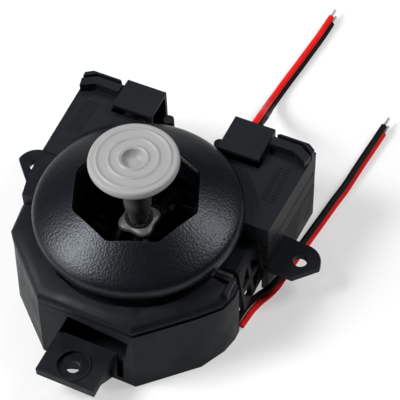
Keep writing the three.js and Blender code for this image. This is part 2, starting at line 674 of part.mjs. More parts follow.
// lower rocker: a ring round the stick that turns about the X axis
function rockerForeAft() {
  const halfLength = 6.2;
  const halfWidth = 3.9;
  const halfHeight = 1.4;
  const opening = 2.35;
  let rocker = box(
    [-halfLength, halfLength],
    [-halfWidth, halfWidth],
    [PIVOT - halfHeight, PIVOT + halfHeight],
  );
  rocker = cut(
    rocker,
    box([-4.4, 4.4], [-opening, opening], [PIVOT - 2, PIVOT + 2]),
    bar(PIN_RADIUS + GAP, [PIVOT, 0], -halfWidth - 1, halfWidth + 1, 'y', 16),
  );
  const rightJournal = bar(JOURNAL_RADIUS, [0, PIVOT], halfLength - 0.5, SECTOR_START + 0.2, 'x');
  const leftJournal = bar(JOURNAL_RADIUS, [0, PIVOT], -halfLength + 0.5, -POST_OUTER - 0.5, 'x');
  const sector = prism(sectorPoints(false), SECTOR_START, SECTOR_START + SECTOR_THICKNESS, 'x');
  return join(rocker, rightJournal, leftJournal, sector);
}

// upper rocker: a slotted arch over the stick that turns about the Y axis
function rockerSide() {
  const hubRadius = ARCH_HALF_WIDTH;
  const ring = [
    ...arc(0, PIVOT, SIDE_ARCH_OUTER, 0, 180, 18),
    ...arc(0, PIVOT, SIDE_ARCH_INNER, 180, 0, 18),
  ];
  let rocker = prism(ring, -ARCH_HALF_WIDTH, ARCH_HALF_WIDTH, 'x');
  for (const end of [1, -1]) {
    const hub = bar(hubRadius, [PIVOT, 0], end * SIDE_ARCH_INNER, end * SIDE_ARCH_OUTER, 'y', 24);
    rocker = join(rocker, hub);
  }
  rocker = cut(rocker, box(
    [-SLOT_HALF_WIDTH, SLOT_HALF_WIDTH], [-5.9, 5.9], [PIVOT + 2, PIVOT + SIDE_ARCH_OUTER + 1],
  ));
  const rearJournal = bar(JOURNAL_RADIUS, [PIVOT, 0], SIDE_ARCH_INNER + 0.5, SECTOR_START + 0.2, 'y');
  const frontJournal = bar(JOURNAL_RADIUS, [PIVOT, 0], -SIDE_ARCH_INNER - 0.5, -POST_OUTER - 0.5, 'y');
  const sector = prism(sectorPoints(true), SECTOR_START, SECTOR_START + SECTOR_THICKNESS, 'y');
  return join(rocker, rearJournal, frontJournal, sector);
}

// encoder wheel, axle and pinion in one moulding; the right one lies along X, the left along Y
function encoderWheel(axis) {
  const centre = axis === 'x' ? [PINION_OUT, PINION_UP] : [PINION_UP, -PINION_OUT];
  const wheelAt = axis === 'x' ? RIGHT_WHEEL_X : LEFT_WHEEL_Y;
  const axleEnd = axis === 'x' ? 22.4 : 25.4;
  let wheel = bar(WHEEL_RADIUS, centre, wheelAt, wheelAt + WHEEL_THICKNESS, axis, 32);
  for (let i = 0; i < WHEEL_SLOTS; i += 1) {
    const angle = (i / WHEEL_SLOTS) * 2 * Math.PI;
    const along = [Math.cos(angle), Math.sin(angle)];
    const across = [-along[1], along[0]];
    const corner = (radius, offset) => [
      centre[0] + radius * along[0] + offset * across[0],
      centre[1] + radius * along[1] + offset * across[1],
    ];
    const slot = [corner(3, -0.27), corner(4.2, -0.38), corner(4.2, 0.38), corner(3, 0.27)];
    wheel = cut(wheel, prism(slot, wheelAt - 1, wheelAt + 2, axis));
  }
  const axle = bar(AXLE_RADIUS, centre, SECTOR_START - 0.6, axleEnd, axis, 16);
  const pinionStart = SECTOR_START - 0.1;
  const pinionEnd = SECTOR_START + SECTOR_THICKNESS + 0.1;
  const pinion = prism(pinionPoints(axis === 'y'), pinionStart, pinionEnd, axis);
  return join(wheel, axle, pinion);
}

// U-shaped carrier for a wheel's axle, standing on the circuit board
function axleBracket(axis) {
  const ends = axis === 'x' ? [14.6, 22.2] : [15.2, 25.2];
  const centre = axis === 'x' ? [PINION_OUT, PINION_UP] : [PINION_UP, -PINION_OUT];
  const across = axis === 'x' ? PINION_OUT : -PINION_OUT;
  const halfWidth = 1.6;
  const thickness = 0.9;
  const block = (from, to, low, high) => (axis === 'x'
    ? box([from, to], [across - halfWidth, across + halfWidth], [low, high])
    : box([across - halfWidth, across + halfWidth], [from, to], [low, high]));
  const foot = block(ends[0], ends[1], BOARD_TOP, BOARD_TOP + 0.8);
  const near = block(ends[0], ends[0] + thickness, BOARD_TOP, PINION_UP + 1.9);
  const far = block(ends[1] - thickness, ends[1], BOARD_TOP, PINION_UP + 1.9);
  const hole = bar(AXLE_RADIUS + GAP, centre, ends[0] - 1, ends[1] + 1, axis, 16);
  return cut(join(foot, near, far), hole);
}

function pivotFrame() {
  const top = 10.9;
  const plateTop = BASE_COVER_TOP + 1.2;
  let frame = bar(6.4, [0, 0], BASE_COVER_TOP, plateTop, 'z', 28);
  frame = join(
    frame,
    box([-POST_OUTER, POST_OUTER], [-2.4, 2.4], [BASE_COVER_TOP, plateTop]),
    box([-2.4, 2.4], [-POST_OUTER, POST_OUTER], [BASE_COVER_TOP, plateTop]),
  );
  frame = cut(frame, bar(4.6, [0, 0], 0, plateTop + 1, 'z', 28));
  for (const end of [1, -1]) {
    frame = join(
      frame,
      box([end * POST_INNER, end * POST_OUTER], [-2.4, 2.4], [BASE_COVER_TOP, top]),
      box([-2.4, 2.4], [end * POST_INNER, end * POST_OUTER], [BASE_COVER_TOP, top]),
    );
  }
  // open-topped journal slots
  const slotRadius = JOURNAL_RADIUS + GAP;
  return cut(
    frame,
    bar(slotRadius, [0, PIVOT], -12, 12, 'x'),
    bar(slotRadius, [PIVOT, 0], -12, 12, 'y'),
    box([-12, 12], [-slotRadius, slotRadius], [PIVOT, top + 1]),
    box([-slotRadius, slotRadius], [-12, 12], [PIVOT, top + 1]),
  );
}

function springCup() {
  const inside = SPRING_TOP + 0.05;
  return turned([[0, inside], [3.6, inside], [3.6, 2.1], [4.1, 2.1], [4.1, 3.9], [0, 3.9]], 28);
}

function returnSpring() {
  const wire = 0.2;
  const coilRadius = 2.9;
  const turns = 3;
  const low = BASE_COVER_TOP + wire + 0.02;
  const high = SPRING_TOP - wire - 0.02;
  const stepsPerTurn = 12;
  const points = Array.from({ length: turns * stepsPerTurn + 1 }, (_, i) => {
    const angle = (i / stepsPerTurn) * 2 * Math.PI;
    const height = low + ((high - low) * i) / (turns * stepsPerTurn);
    return new THREE.Vector3(coilRadius * Math.cos(angle), coilRadius * Math.sin(angle), height);
  });
  return tube(points, wire, turns * stepsPerTurn, 6);
}

// a round bar along a curve through the points
function tube(points, radius, steps, sides = 8) {
  const section = Array.from({ length: sides }, (_, i) => {
    const angle = (i / sides) * 2 * Math.PI;
    return new THREE.Vector2(radius * Math.cos(angle), radius * Math.sin(angle));
  });
  const extrudePath = new THREE.CatmullRomCurve3(points, false, 'centripetal');
  const settings = { steps, extrudePath, bevelEnabled: false };
  const geometry = new THREE.ExtrudeGeometry(new THREE.Shape(section), settings);
  return solidFrom(geometry);
}

function stickPost() {
  const profile = [
    [0, FOOT_BOTTOM], [2.4, FOOT_BOTTOM], [2.6, FOOT_BOTTOM + 0.3],
    [2.6, FOOT_BOTTOM + 0.9], [1.7, FOOT_BOTTOM + 1.2],
    [POST_FOOT_RADIUS, PIVOT - 1.6], [POST_FOOT_RADIUS, 18.8], [POST_MIDDLE_RADIUS, 23],
    [POST_TOP_RADIUS, 27],
    [POST_TOP_RADIUS, CAP_UNDERSIDE], [1.2, CAP_UNDERSIDE],
    [1.2, CAP_UNDERSIDE + 1.3], [0, CAP_UNDERSIDE + 1.3],
  ];
  return cut(turned(profile, 28), bar(PIN_RADIUS + 0.05, [PIVOT, 0], -4, 4, 'y', 16));
}

function stickPin() {
  return bar(PIN_RADIUS, [PIVOT, 0], -PIN_HALF_LENGTH, PIN_HALF_LENGTH, 'y', 16);
}

function thumbCap() {
  const groove = CAP_TOP - 0.25;
  const profile = [
    [0, CAP_UNDERSIDE + 1.6], [1.5, CAP_UNDERSIDE + 1.6], [1.5, CAP_UNDERSIDE], [5.6, CAP_UNDERSIDE],
    [7.5, CAP_TOP - 2.6], [8.3, CAP_TOP - 1.9], [CAP_RADIUS, CAP_TOP - 1.2],
    [8.2, CAP_TOP - 0.5], [7.4, CAP_TOP - 0.15],
    [6.9, CAP_TOP], [6.5, groove], [4.95, groove], [4.65, CAP_TOP], [4.35, groove],
    [2.95, groove], [2.6, CAP_TOP], [2.2, groove], [1.3, CAP_TOP - 1], [0, CAP_TOP - 1.1],
  ];
  return turned(profile, 48);
}

// splayed collar with four lobes, a bowl turned over the side rocker's arch
function stickCollar() {
  const steps = 48;
  const lobed = Array.from({ length: steps }, (_, i) => {
    const angle = (i / steps) * 2 * Math.PI;
    const radius = 3.7 + 0.5 * Math.cos(4 * (angle - 45 * DEG));
    return [radius * Math.cos(angle), radius * Math.sin(angle)];
  });
  const bowl = turned([
    [0, PIVOT + COLLAR_INNER],
    ...arc(0, PIVOT, COLLAR_INNER, 85, 58, 6),
    ...arc(0, PIVOT, COLLAR_INNER + COLLAR_THICKNESS, 58, 85, 6),
    [0, COLLAR_TOP],
  ], 48);
  const bore = bar(POST_FOOT_RADIUS + GAP, [0, 0], PIVOT, COLLAR_TOP + 1, 'z', 28);
  return cut(bowl.intersect(prism(lobed, PIVOT, COLLAR_TOP + 1)), bore);
}

// dark push-on ring with teeth that point at the post
function starRing() {
  const teeth = 14;
  const inner = [];
  for (let i = 0; i < teeth; i += 1) {
    const angle = (i / teeth) * 360;
    inner.push(...arc(0, 0, POST_FOOT_RADIUS + 0.06, angle + 4, angle + 14, 1));
    inner.push(...arc(0, 0, POST_FOOT_RADIUS + 0.35, angle + 16, angle + 24, 1));
  }
  const low = COLLAR_TOP - 0.24;    // just above the edge of the collar's bore
  const ring = bar(2.75, [0, 0], low, low + 0.35, 'z', 28);
  return cut(ring, prism(inner, low - 1, low + 1));
}

// ---------------------------------------------------------------- electrics

function circuitBoard() {
  const bottom = BOARD_TOP - BOARD_THICKNESS;
  let board = join(
    box([-21.4, 21.4], [14.2, 25], [bottom, BOARD_TOP]),
    box([14.4, 21.4], [10.4, 15], [bottom, BOARD_TOP]),
  );
  for (const [x, y] of SCREW_PLACES.filter((place) => place[1] > 0)) {
    board = cut(board, bar(BOSS_RADIUS + GAP, [x, y], bottom - 1, BOARD_TOP + 1, 'z', 16));
    board = cut(board, box([x, 30 * Math.sign(x)], [y - 1, y + 1], [bottom - 1, BOARD_TOP + 1]));
  }
  // two feet on the base cover
  for (const x of [-8, 8]) {
    board = join(board, bar(1, [x, 20], BASE_COVER_TOP, bottom + 0.2, 'z', 12));
  }
  return board;
}

function signalChip() {
  return box([-3, 3], [17, 21.5], [BOARD_TOP, BOARD_TOP + 1.4]);
}

// an optical part: a block with a small round lens towards the wheel
function opticalPart(centre, facing, axis) {
  const [x, y] = centre;
  const halfThickness = 0.7;
  const halfWidth = 1.4;
  const top = 11.7;
  const lensHeight = PINION_UP - 1.9;
  const lensRadius = 0.8;
  const lensOut = 0.25;
  const alongX = axis === 'x';
  const halfX = alongX ? halfThickness : halfWidth;
  const halfY = alongX ? halfWidth : halfThickness;
  const block = box([x - halfX, x + halfX], [y - halfY, y + halfY], [BOARD_TOP, top]);
  const lensCentre = alongX ? [y, lensHeight] : [lensHeight, x];
  const from = alongX ? x : y;
  const lens = bar(lensRadius, lensCentre, from, from + facing * (halfThickness + lensOut), axis, 14);
  return join(block, lens);
}

// ---------------------------------------------------------------- leads

// routes of the two pairs, each from its clip to its cut end; the upper lead lies on the lower
const REAR_RED_ROUTE = [
  [10.7, 28.6, 18.6], [10.7, 30.6, 18.3], [10.4, 33, 17.15], [9.75, 36, 14.9], [8.7, 39, 11.7],
  [7.65, 42, 8.5], [6.8, 45, 5.7], [6.2, 48, 3.65], [6, 51, 2.4], [6.1, 54, LEAD_ABOVE],
  [6.45, 57.5, LEAD_ABOVE], [6.9, 61.5, LEAD_ABOVE], [7.35, 66, LEAD_ABOVE],
  [7.8, 70.5, LEAD_ABOVE], [8.1, 74.5, LEAD_ABOVE], [8.25, 77.6, LEAD_ABOVE],
];
const REAR_BLACK_ROUTE = [
  [11.2, 28.4, 17.35], [11.25, 30.25, 17.1], [11.05, 32.45, 16.05], [10.5, 35.35, 13.95],
  [9.5, 38.3, 10.8], [8.4, 41.3, 7.55], [7.5, 44.35, 4.7], [6.8, 47.45, 2.55], [6.5, 50.65, 1.15],
  [6.6, 53.9, LEAD_REST], [6.95, 57.45, LEAD_REST], [7.4, 61.45, LEAD_REST], [7.85, 65.95, LEAD_REST],
  [8.3, 70.45, LEAD_REST], [8.6, 74.45, LEAD_REST], [8.7, 76.9, LEAD_REST],
];
const SIDE_RED_ROUTE = [
  [22.9, -4.2, LEAD_REST], [23.15, -2, LEAD_REST], [23.45, 0.1, LEAD_REST], [24.1, 2.4, LEAD_REST],
  [25.1, 4.9, LEAD_REST], [25.7, 7.2, LEAD_REST], [26, 10.2, LEAD_REST], [26.5, 14.9, LEAD_REST],
  [27.2, 20.5, LEAD_REST], [27.8, 25.1, LEAD_REST], [28.4, 29.9, LEAD_REST], [29.1, 34.7, LEAD_REST],
  [29.5, 39.4, LEAD_REST], [29.95, 44.2, LEAD_REST], [30.35, 48, LEAD_REST], [30.7, 51.6, LEAD_REST],
];
const SIDE_BLACK_ROUTE = [
  [21.55, -4.05, LEAD_REST], [21.85, -1.85, 1.05], [22.3, 0.35, 1.4], [23.2, 2.7, 1.7],
  [24.5, 5.1, 1.9], [25.25, 7.3, LEAD_ABOVE], [25.55, 10.25, LEAD_ABOVE], [26.05, 14.95, LEAD_ABOVE],
  [26.75, 20.55, LEAD_ABOVE], [27.35, 25.15, LEAD_ABOVE], [27.95, 29.95, LEAD_ABOVE],
  [28.65, 34.75, LEAD_ABOVE], [29.05, 39.45, LEAD_ABOVE], [29.5, 44.25, LEAD_ABOVE],
  [29.9, 48.05, LEAD_ABOVE], [30.35, 52.7, LEAD_ABOVE],
];

const LEADS = [
  ['rear_lead_red', REAR_RED_ROUTE, RED_SLEEVE],
  ['rear_lead_black', REAR_BLACK_ROUTE, BLACK_SLEEVE],
  ['side_lead_red', SIDE_RED_ROUTE, RED_SLEEVE],
  ['side_lead_black', SIDE_BLACK_ROUTE, BLACK_SLEEVE],
];

function leadTip(route) {
  const end = new THREE.Vector3(...route[route.length - 1]);
  const before = new THREE.Vector3(...route[route.length - 2]);
  const direction = end.clone().sub(before).normalize();
  const start = end.clone().addScaledVector(direction, GAP);
  const points = [0, 0.5, 1].map(
    (share) => start.clone().addScaledVector(direction, share * TIP_LENGTH),
  );
  return tube(points, TIP_RADIUS, 2, 8);
}

// ---------------------------------------------------------------- put together

addPiece('base_cover', baseCover(), BLACK_PLASTIC);
addPiece('lower_case', lowerCase(), BLACK_PLASTIC);
addPiece('middle_frame', middleFrame(), BLACK_PLASTIC);
addPiece('upper_case', upperCase(), BLACK_PLASTIC);
addPiece('dome_gate', domeGate(), DOME_PLASTIC);
for (const [side, word] of [[1, 'right'], [-1, 'left']]) {
  addPiece(`wing_cover_${word}`, wingCover(side), BLACK_PLASTIC);
  addPiece(`wing_frame_${word}`, wingFrame(side), BLACK_PLASTIC);
  addPiece(`hood_${word}`, hood(side), BLACK_PLASTIC);
}
addPiece('side_cover_left', sideCoverLeft(), BLACK_PLASTIC);
addPiece('side_bracket_right', sideBracketRight(), BLACK_PLASTIC);
SCREW_PLACES.forEach(([x, y], i) => addPiece(`case_screw_${i + 1}`, caseScrew(x, y), STEEL));

addPiece('pivot_frame', pivotFrame(), MECHANISM_PLASTIC);
addPiece('spring_cup', springCup(), MECHANISM_PLASTIC);
addPiece('return_spring', returnSpring(), STEEL);
addPiece('rocker_fore_aft', rockerForeAft(), MECHANISM_PLASTIC);
addPiece('rocker_side', rockerSide(), MECHANISM_PLASTIC);
addPiece('encoder_wheel_right', encoderWheel('x'), CHIP_BLACK);
addPiece('encoder_wheel_left', encoderWheel('y'), CHIP_BLACK);
addPiece('axle_bracket_right', axleBracket('x'), MECHANISM_PLASTIC);
addPiece('axle_bracket_left', axleBracket('y'), MECHANISM_PLASTIC);

addPiece('stick_pin', stickPin(), STEEL);
addPiece('stick_post', stickPost(), GREY_PLASTIC);
addPiece('thumb_cap', thumbCap(), CAP_PLASTIC);
addPiece('stick_collar', stickCollar(), GREY_PLASTIC);
addPiece('star_ring', starRing(), CHIP_BLACK);

addPiece('circuit_board', circuitBoard(), BOARD_GREEN);
addPiece('signal_chip', signalChip(), CHIP_BLACK);
const OPTICS_OUT = PINION_OUT + OPTICS_OUTWARD;
const OPTICS = [
  ['emitter_right', [RIGHT_WHEEL_X - EMITTER_BEHIND, OPTICS_OUT], 1, 'x'],
  ['detector_right', [RIGHT_WHEEL_X + DETECTOR_AHEAD, OPTICS_OUT], -1, 'x'],
  ['emitter_left', [-OPTICS_OUT, LEFT_WHEEL_Y - EMITTER_BEHIND], 1, 'y'],
  ['detector_left', [-OPTICS_OUT, LEFT_WHEEL_Y + DETECTOR_AHEAD], -1, 'y'],
];
for (const [name, centre, facing, axis] of OPTICS) {
  addPiece(name, opticalPart(centre, facing, axis), CHIP_BLACK);
}

addPiece('lead_clip_rear', box([9.4, 12.8], [HOOD_BACK, 28.3], [16.2, 19.6]), BLACK_SLEEVE);
addPiece('lead_clip_side', box([20.2, 22.75], [NOTCH_FRONT, -4.5], [0, 1.9]), BLACK_SLEEVE);
for (const [name, route, finish] of LEADS) {
  const points = route.map(([x, y, z]) => new THREE.Vector3(x, y, z));
  addPiece(name, tube(points, LEAD_RADIUS, 24, 8), finish);
  addPiece(`${name}_tip`, leadTip(route), TINNED_COPPER);
}

export default thumbstick;
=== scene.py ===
"""Looks of a thumbstick module for a game controller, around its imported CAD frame.

Lengths are written in millimetres and turned into metres by MM. X is right, Y is back, Z is up.
"""

import json
import math

import bmesh
import bpy
from mathutils import Matrix, Vector


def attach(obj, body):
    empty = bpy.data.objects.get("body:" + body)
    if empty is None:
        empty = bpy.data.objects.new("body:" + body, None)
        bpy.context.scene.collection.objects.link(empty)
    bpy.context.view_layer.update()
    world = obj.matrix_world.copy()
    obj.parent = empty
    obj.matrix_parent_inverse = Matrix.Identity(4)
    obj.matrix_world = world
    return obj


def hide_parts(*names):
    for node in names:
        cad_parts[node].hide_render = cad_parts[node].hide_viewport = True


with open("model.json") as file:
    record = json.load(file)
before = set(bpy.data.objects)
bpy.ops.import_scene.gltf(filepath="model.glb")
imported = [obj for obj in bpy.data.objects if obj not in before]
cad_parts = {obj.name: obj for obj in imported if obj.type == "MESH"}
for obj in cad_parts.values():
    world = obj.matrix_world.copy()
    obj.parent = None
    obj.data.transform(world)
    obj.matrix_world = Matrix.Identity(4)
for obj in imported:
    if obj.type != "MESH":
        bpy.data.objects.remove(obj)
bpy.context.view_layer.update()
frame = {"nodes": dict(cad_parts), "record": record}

MM = 0.001

# ------------------------------------------------------------------ driving dimensions, in mm

DOME_RADIUS = 20.0
RIM = 20.0
GATE_TOP = 26.4
GATE_RADIUS = 12.0
GATE_LIP = 0.55                     # from the gate's octagon out to the dome's surface
GATE_THROAT_LOW = 20.6
NECK_INNER = 16.8

CAP_TOP = 36.3
CAP_UNDERSIDE = 33.3
CAP_RIDGES = ((6.8, 0.5), (4.6, 0.5), (2.65, 0.46))     # radius and half width
CAP_RIDGE_HEIGHT = 0.2
POST_FOOT_RADIUS = 1.97
POST_TOP_RADIUS = 2.45
FOOT_BOTTOM = 4.9
PIVOT = 9.0
COLLAR_INNER = 8.87                 # radius of the bowl about the pivot
COLLAR_THICKNESS = 0.7
COLLAR_LOBE_RADIUS = 3.7
COLLAR_LOBE_SPREAD = 0.45

WING_SPLIT_LOW = 9.7
WING_SPLIT_HIGH = 14.1

LEAD_DIAMETER = 1.3
LEAD_REST = 0.7
LEAD_ABOVE = 1.98
TIP_LENGTH = 2.2
TIP_GAP = 0.3
STRAND_RADIUS = 0.1
STRAND_OFFSET = 0.205               # of the six outer strands from the middle one
STRAND_TWIST = 2.2                  # radians over the bare tip
SEAM_HALF_WIDTH = 0.12              # of the dull line along a split line, which is painted shade of its groove
SEAM_FADE = 0.24                    # where the surface has its own gloss again

CAMERA_AZIMUTH = 27.14
CAMERA_ELEVATION = 52.91
CAMERA_ROLL = -2.52
CAMERA_DISTANCE = 300.9
CAMERA_TARGET = (5.27, 15.21, 8.0)
CAMERA_LENS = 136.2
SENSOR_WIDTH = 36

# ------------------------------------------------------------------ camera, lights and floor


def add_camera():
    azimuth = math.radians(CAMERA_AZIMUTH)
    elevation = math.radians(CAMERA_ELEVATION)
    roll = math.radians(CAMERA_ROLL)
    back = Vector((
        math.sin(azimuth) * math.cos(elevation),
        -math.cos(azimuth) * math.cos(elevation),
        math.sin(elevation),
    ))
    level = Vector((math.cos(azimuth), math.sin(azimuth), 0))
    upright = back.cross(level)
    right = level * math.cos(roll) + upright * math.sin(roll)
    up = upright * math.cos(roll) - level * math.sin(roll)
    data = bpy.data.cameras.new("camera")
    data.lens = CAMERA_LENS
    data.sensor_width = SENSOR_WIDTH
    data.clip_start = 0.01
    data.clip_end = 10
    camera = bpy.data.objects.new("camera", data)
    bpy.context.scene.collection.objects.link(camera)
    place = (Vector(CAMERA_TARGET) + back * CAMERA_DISTANCE) * MM
    turn = Matrix((right, up, back)).transposed().to_4x4()
    camera.matrix_world = Matrix.Translation(place) @ turn
    bpy.context.scene.camera = camera


def add_area_light(name, place, aim, size, power):
    data = bpy.data.lights.new(name, "AREA")
    data.shape = "RECTANGLE"
    data.size = size[0]
    data.size_y = size[1]
    data.energy = power
    light = bpy.data.objects.new(name, data)
    bpy.context.scene.collection.objects.link(light)
    place = Vector(place)
    light.location = place
    light.rotation_mode = "QUATERNION"
    light.rotation_quaternion = (place - Vector(aim)).to_track_quat("Z", "Y")


def add_stage():
    world = bpy.data.worlds.new("studio")
    bpy.context.scene.world = world
    world.use_nodes = True
    background = world.node_tree.nodes["Background"]
    background.inputs["Color"].default_value = (0.93, 0.96, 1.0, 1)
    background.inputs["Strength"].default_value = 0.05

    middle = (0, 0, 0.015)
    add_area_light("key_left", (-0.30, -0.16, 0.42), middle, (0.17, 0.17), 3.3)
    add_area_light("low_left", (-0.43, -0.35, 0.25), middle, (0.34, 0.24), 1.7)
    add_area_light("key_right", (0.30, 0.26, 0.42), middle, (0.18, 0.18), 1.8)
    add_area_light("top_back", (-0.16, 0.3, 0.5), middle, (0.2, 0.2), 0.45)

    bpy.ops.mesh.primitive_grid_add(x_subdivisions=2, y_subdivisions=2, size=8)
    floor = bpy.context.object
    floor.name = "floor"
    floor.data.materials.append(pale_floor())
    bpy.context.scene.view_settings.view_transform = "Standard"


# ------------------------------------------------------------------ materials

WHITE = (1, 1, 1, 1)
COOL_SHEEN = (0.86, 0.93, 1.0, 1)


def new_material(name):
    made = bpy.data.materials.new(name)
    made.use_nodes = True
    tree = made.node_tree
    return made, tree, tree.nodes["Principled BSDF"]


def add_node(tree, kind, settings=None, **sockets):
    node = tree.nodes.new(kind)
    for key, value in (settings or {}).items():
        setattr(node, key, value)
    for key, value in sockets.items():
        node.inputs[key.replace("_", " ")].default_value = value
    return node


def noise_node(tree, vector, scale, detail=4.0, roughness=0.55):
    node = add_node(tree, "ShaderNodeTexNoise", Scale=scale, Detail=detail, Roughness=roughness)
    tree.links.new(vector, node.inputs["Vector"])
    return node.outputs["Fac"]


def remap(tree, value, low, high, to_low, to_high):
    node = add_node(tree, "ShaderNodeMapRange")
    for name, number in (("From Min", low), ("From Max", high), ("To Min", to_low), ("To Max", to_high)):
        node.inputs[name].default_value = number
    tree.links.new(value, node.inputs["Value"])
    return node.outputs["Result"]


def mix_colours(tree, share, first, second):
    node = add_node(tree, "ShaderNodeMix", {"data_type": "RGBA"})
    tree.links.new(share, node.inputs["Factor"])
    for socket, value in ((node.inputs[6], first), (node.inputs[7], second)):
        if isinstance(value, tuple):
            socket.default_value = (*value, 1)
        else:
            tree.links.new(value, socket)
    return node.outputs[2]


def combine(tree, operation, first, second):
    node = add_node(tree, "ShaderNodeMath", {"operation": operation})
    for socket, value in ((node.inputs[0], first), (node.inputs[1], second)):
        if isinstance(value, (int, float)):
            socket.default_value = value
        else:
            tree.links.new(value, socket)
    return node.outputs[0]


def add_bump(tree, shader, height, depth):
    node = add_node(tree, "ShaderNodeBump", Strength=1.0, Distance=depth)
    tree.links.new(height, node.inputs["Height"])
    tree.links.new(node.outputs["Normal"], shader.inputs["Normal"])


def worn_and_highlit_edges(tree):
    """0 on flat surface, rising to 1 on a sharp outer edge, which is lightened partly for wear and
    partly as a painted highlight.
    """
    geometry = add_node(tree, "ShaderNodeNewGeometry")
    return remap(tree, geometry.outputs["Pointiness"], 0.52, 0.6, 0.0, 1.0)


def clear_of_seam_shade(tree, place, heights):
    """1 on open surface and 0 in the dull line of painted shade along each split line, at heights in mm.
    """
    split = add_node(tree, "ShaderNodeSeparateXYZ")
    tree.links.new(place, split.inputs[0])
    unshaded = None
    for height in heights:
        above = combine(tree, "SUBTRACT", split.outputs["Z"], height * MM)
        off = combine(tree, "ABSOLUTE", above, 0)
        beside = remap(tree, off, SEAM_HALF_WIDTH * MM, SEAM_FADE * MM, 0, 1)
        unshaded = beside if unshaded is None else combine(tree, "MULTIPLY", unshaded, beside)
    return unshaded


def moulded_plastic(
    name, colour, roughness, grain=0.25, depth=0.006, spread=0.08, wear_and_highlight=1.6, specular=0.5,
    cloudy=1.35, sheen=WHITE, seams=(),
):
    """Moulded plastic: grain is the size of the surface's texture and depth its height, in mm."""
    made, tree, shader = new_material(name)
    place = add_node(tree, "ShaderNodeTexCoord").outputs["Object"]
    cloud = noise_node(tree, place, 260.0, 3.0)
    fine = noise_node(tree, place, 1 / (grain * MM), 3.0, 0.6)
    lighter = tuple(min(1.0, c * cloudy) for c in colour)
    tint = mix_colours(tree, remap(tree, cloud, 0.35, 0.65, 0, 1), colour, lighter)
    # lighter edges: partly wear, partly a painted highlight along the rims
    edge = tuple(min(1.0, c * wear_and_highlight + 0.004) for c in colour)
    tint = mix_colours(tree, combine(tree, "MULTIPLY", worn_and_highlit_edges(tree), 0.7), tint, edge)
    tree.links.new(tint, shader.inputs["Base Color"])
    rough = remap(tree, cloud, 0.3, 0.7, roughness - spread, roughness + spread)
    tree.links.new(rough, shader.inputs["Roughness"])
    shader.inputs["Specular IOR Level"].default_value = specular
    shader.inputs["Specular Tint"].default_value = sheen
    # no gloss in a band along each split line: painted shade of the groove
    if seams:
        unshaded = clear_of_seam_shade(tree, place, seams)
        tree.links.new(combine(tree, "MULTIPLY", unshaded, specular), shader.inputs["Specular IOR Level"])
        tree.links.new(remap(tree, unshaded, 0, 1, 1.0, roughness), shader.inputs["Roughness"])
    add_bump(tree, shader, fine, depth * MM)
    return made


def leather_grain(name, colour, roughness, grain, depth):
    """Plastic with a pebbled texture: grain is the pebbles' size and depth their height, in mm."""
    made, tree, shader = new_material(name)
    place = add_node(tree, "ShaderNodeTexCoord").outputs["Object"]
    warp = add_node(tree, "ShaderNodeTexNoise", Scale=1 / (grain * MM * 1.6), Detail=2.0)
    tree.links.new(place, warp.inputs["Vector"])
    shift = add_node(tree, "ShaderNodeVectorMath", {"operation": "SCALE"})
    tree.links.new(warp.outputs["Color"], shift.inputs[0])
    shift.inputs["Scale"].default_value = grain * MM * 0.8
    moved = add_node(tree, "ShaderNodeVectorMath", {"operation": "ADD"})
    tree.links.new(place, moved.inputs[0])
    tree.links.new(shift.outputs[0], moved.inputs[1])
    cells = add_node(tree, "ShaderNodeTexVoronoi", {"feature": "SMOOTH_F1"}, Scale=1 / (grain * MM))
    cells.inputs["Smoothness"].default_value = 0.35
    tree.links.new(moved.outputs[0], cells.inputs["Vector"])
    fine = noise_node(tree, place, 1 / (grain * MM * 0.45), 3.0, 0.6)
    pebbles = combine(tree, "SUBTRACT", combine(tree, "MULTIPLY", fine, 0.5), cells.outputs["Distance"])
    cloud = noise_node(tree, place, 150.0, 3.0)
    lighter = tuple(c * 1.3 for c in colour)
    tint = mix_colours(tree, remap(tree, cloud, 0.35, 0.65, 0, 1), colour, lighter)
    # lighter edges: partly wear, partly a painted highlight along the rims
    edge = tuple(min(1.0, c * 2.0 + 0.01) for c in colour)
    tint = mix_colours(tree, combine(tree, "MULTIPLY", worn_and_highlit_edges(tree), 0.6), tint, edge)
    tree.links.new(tint, shader.inputs["Base Color"])
    rough = remap(tree, fine, 0.3, 0.7, roughness - 0.06, roughness + 0.06)
    tree.links.new(rough, shader.inputs["Roughness"])
    shader.inputs["Specular IOR Level"].default_value = 0.25
    shader.inputs["Specular Tint"].default_value = COOL_SHEEN
    add_bump(tree, shader, pebbles, depth * MM)
    return made


def metal(name, colour, roughness, grain=0.2):
    made, tree, shader = new_material(name)
    shader.inputs["Metallic"].default_value = 1.0
    place = add_node(tree, "ShaderNodeTexCoord").outputs["Object"]
    fine = noise_node(tree, place, 1 / (grain * MM), 4.0)
    cloud = noise_node(tree, place, 700.0, 2.0)
    darker = tuple(c * 0.7 for c in colour)
    tint = mix_colours(tree, remap(tree, cloud, 0.3, 0.7, 0, 1), colour, darker)
    tree.links.new(tint, shader.inputs["Base Color"])
    rough = remap(tree, fine, 0.3, 0.7, roughness - 0.1, roughness + 0.1)
    tree.links.new(rough, shader.inputs["Roughness"])
    add_bump(tree, shader, fine, 0.004 * MM)
    return made


def soft_sleeve(name, colour, roughness):
    """Extruded soft insulation with a faintly uneven surface."""
    made, tree, shader = new_material(name)
    place = add_node(tree, "ShaderNodeTexCoord").outputs["Object"]
    cloud = noise_node(tree, place, 320.0, 4.0)
    fine = noise_node(tree, place, 5200.0, 2.0)
    darker = tuple(c * 0.78 for c in colour)
    tint = mix_colours(tree, remap(tree, cloud, 0.3, 0.7, 0, 1), colour, darker)
    tree.links.new(tint, shader.inputs["Base Color"])
    rough = remap(tree, cloud, 0.3, 0.7, roughness - 0.1, roughness + 0.1)
    tree.links.new(rough, shader.inputs["Roughness"])
    shader.inputs["Specular IOR Level"].default_value = 0.1
    add_bump(tree, shader, fine, 0.006 * MM)
    return made


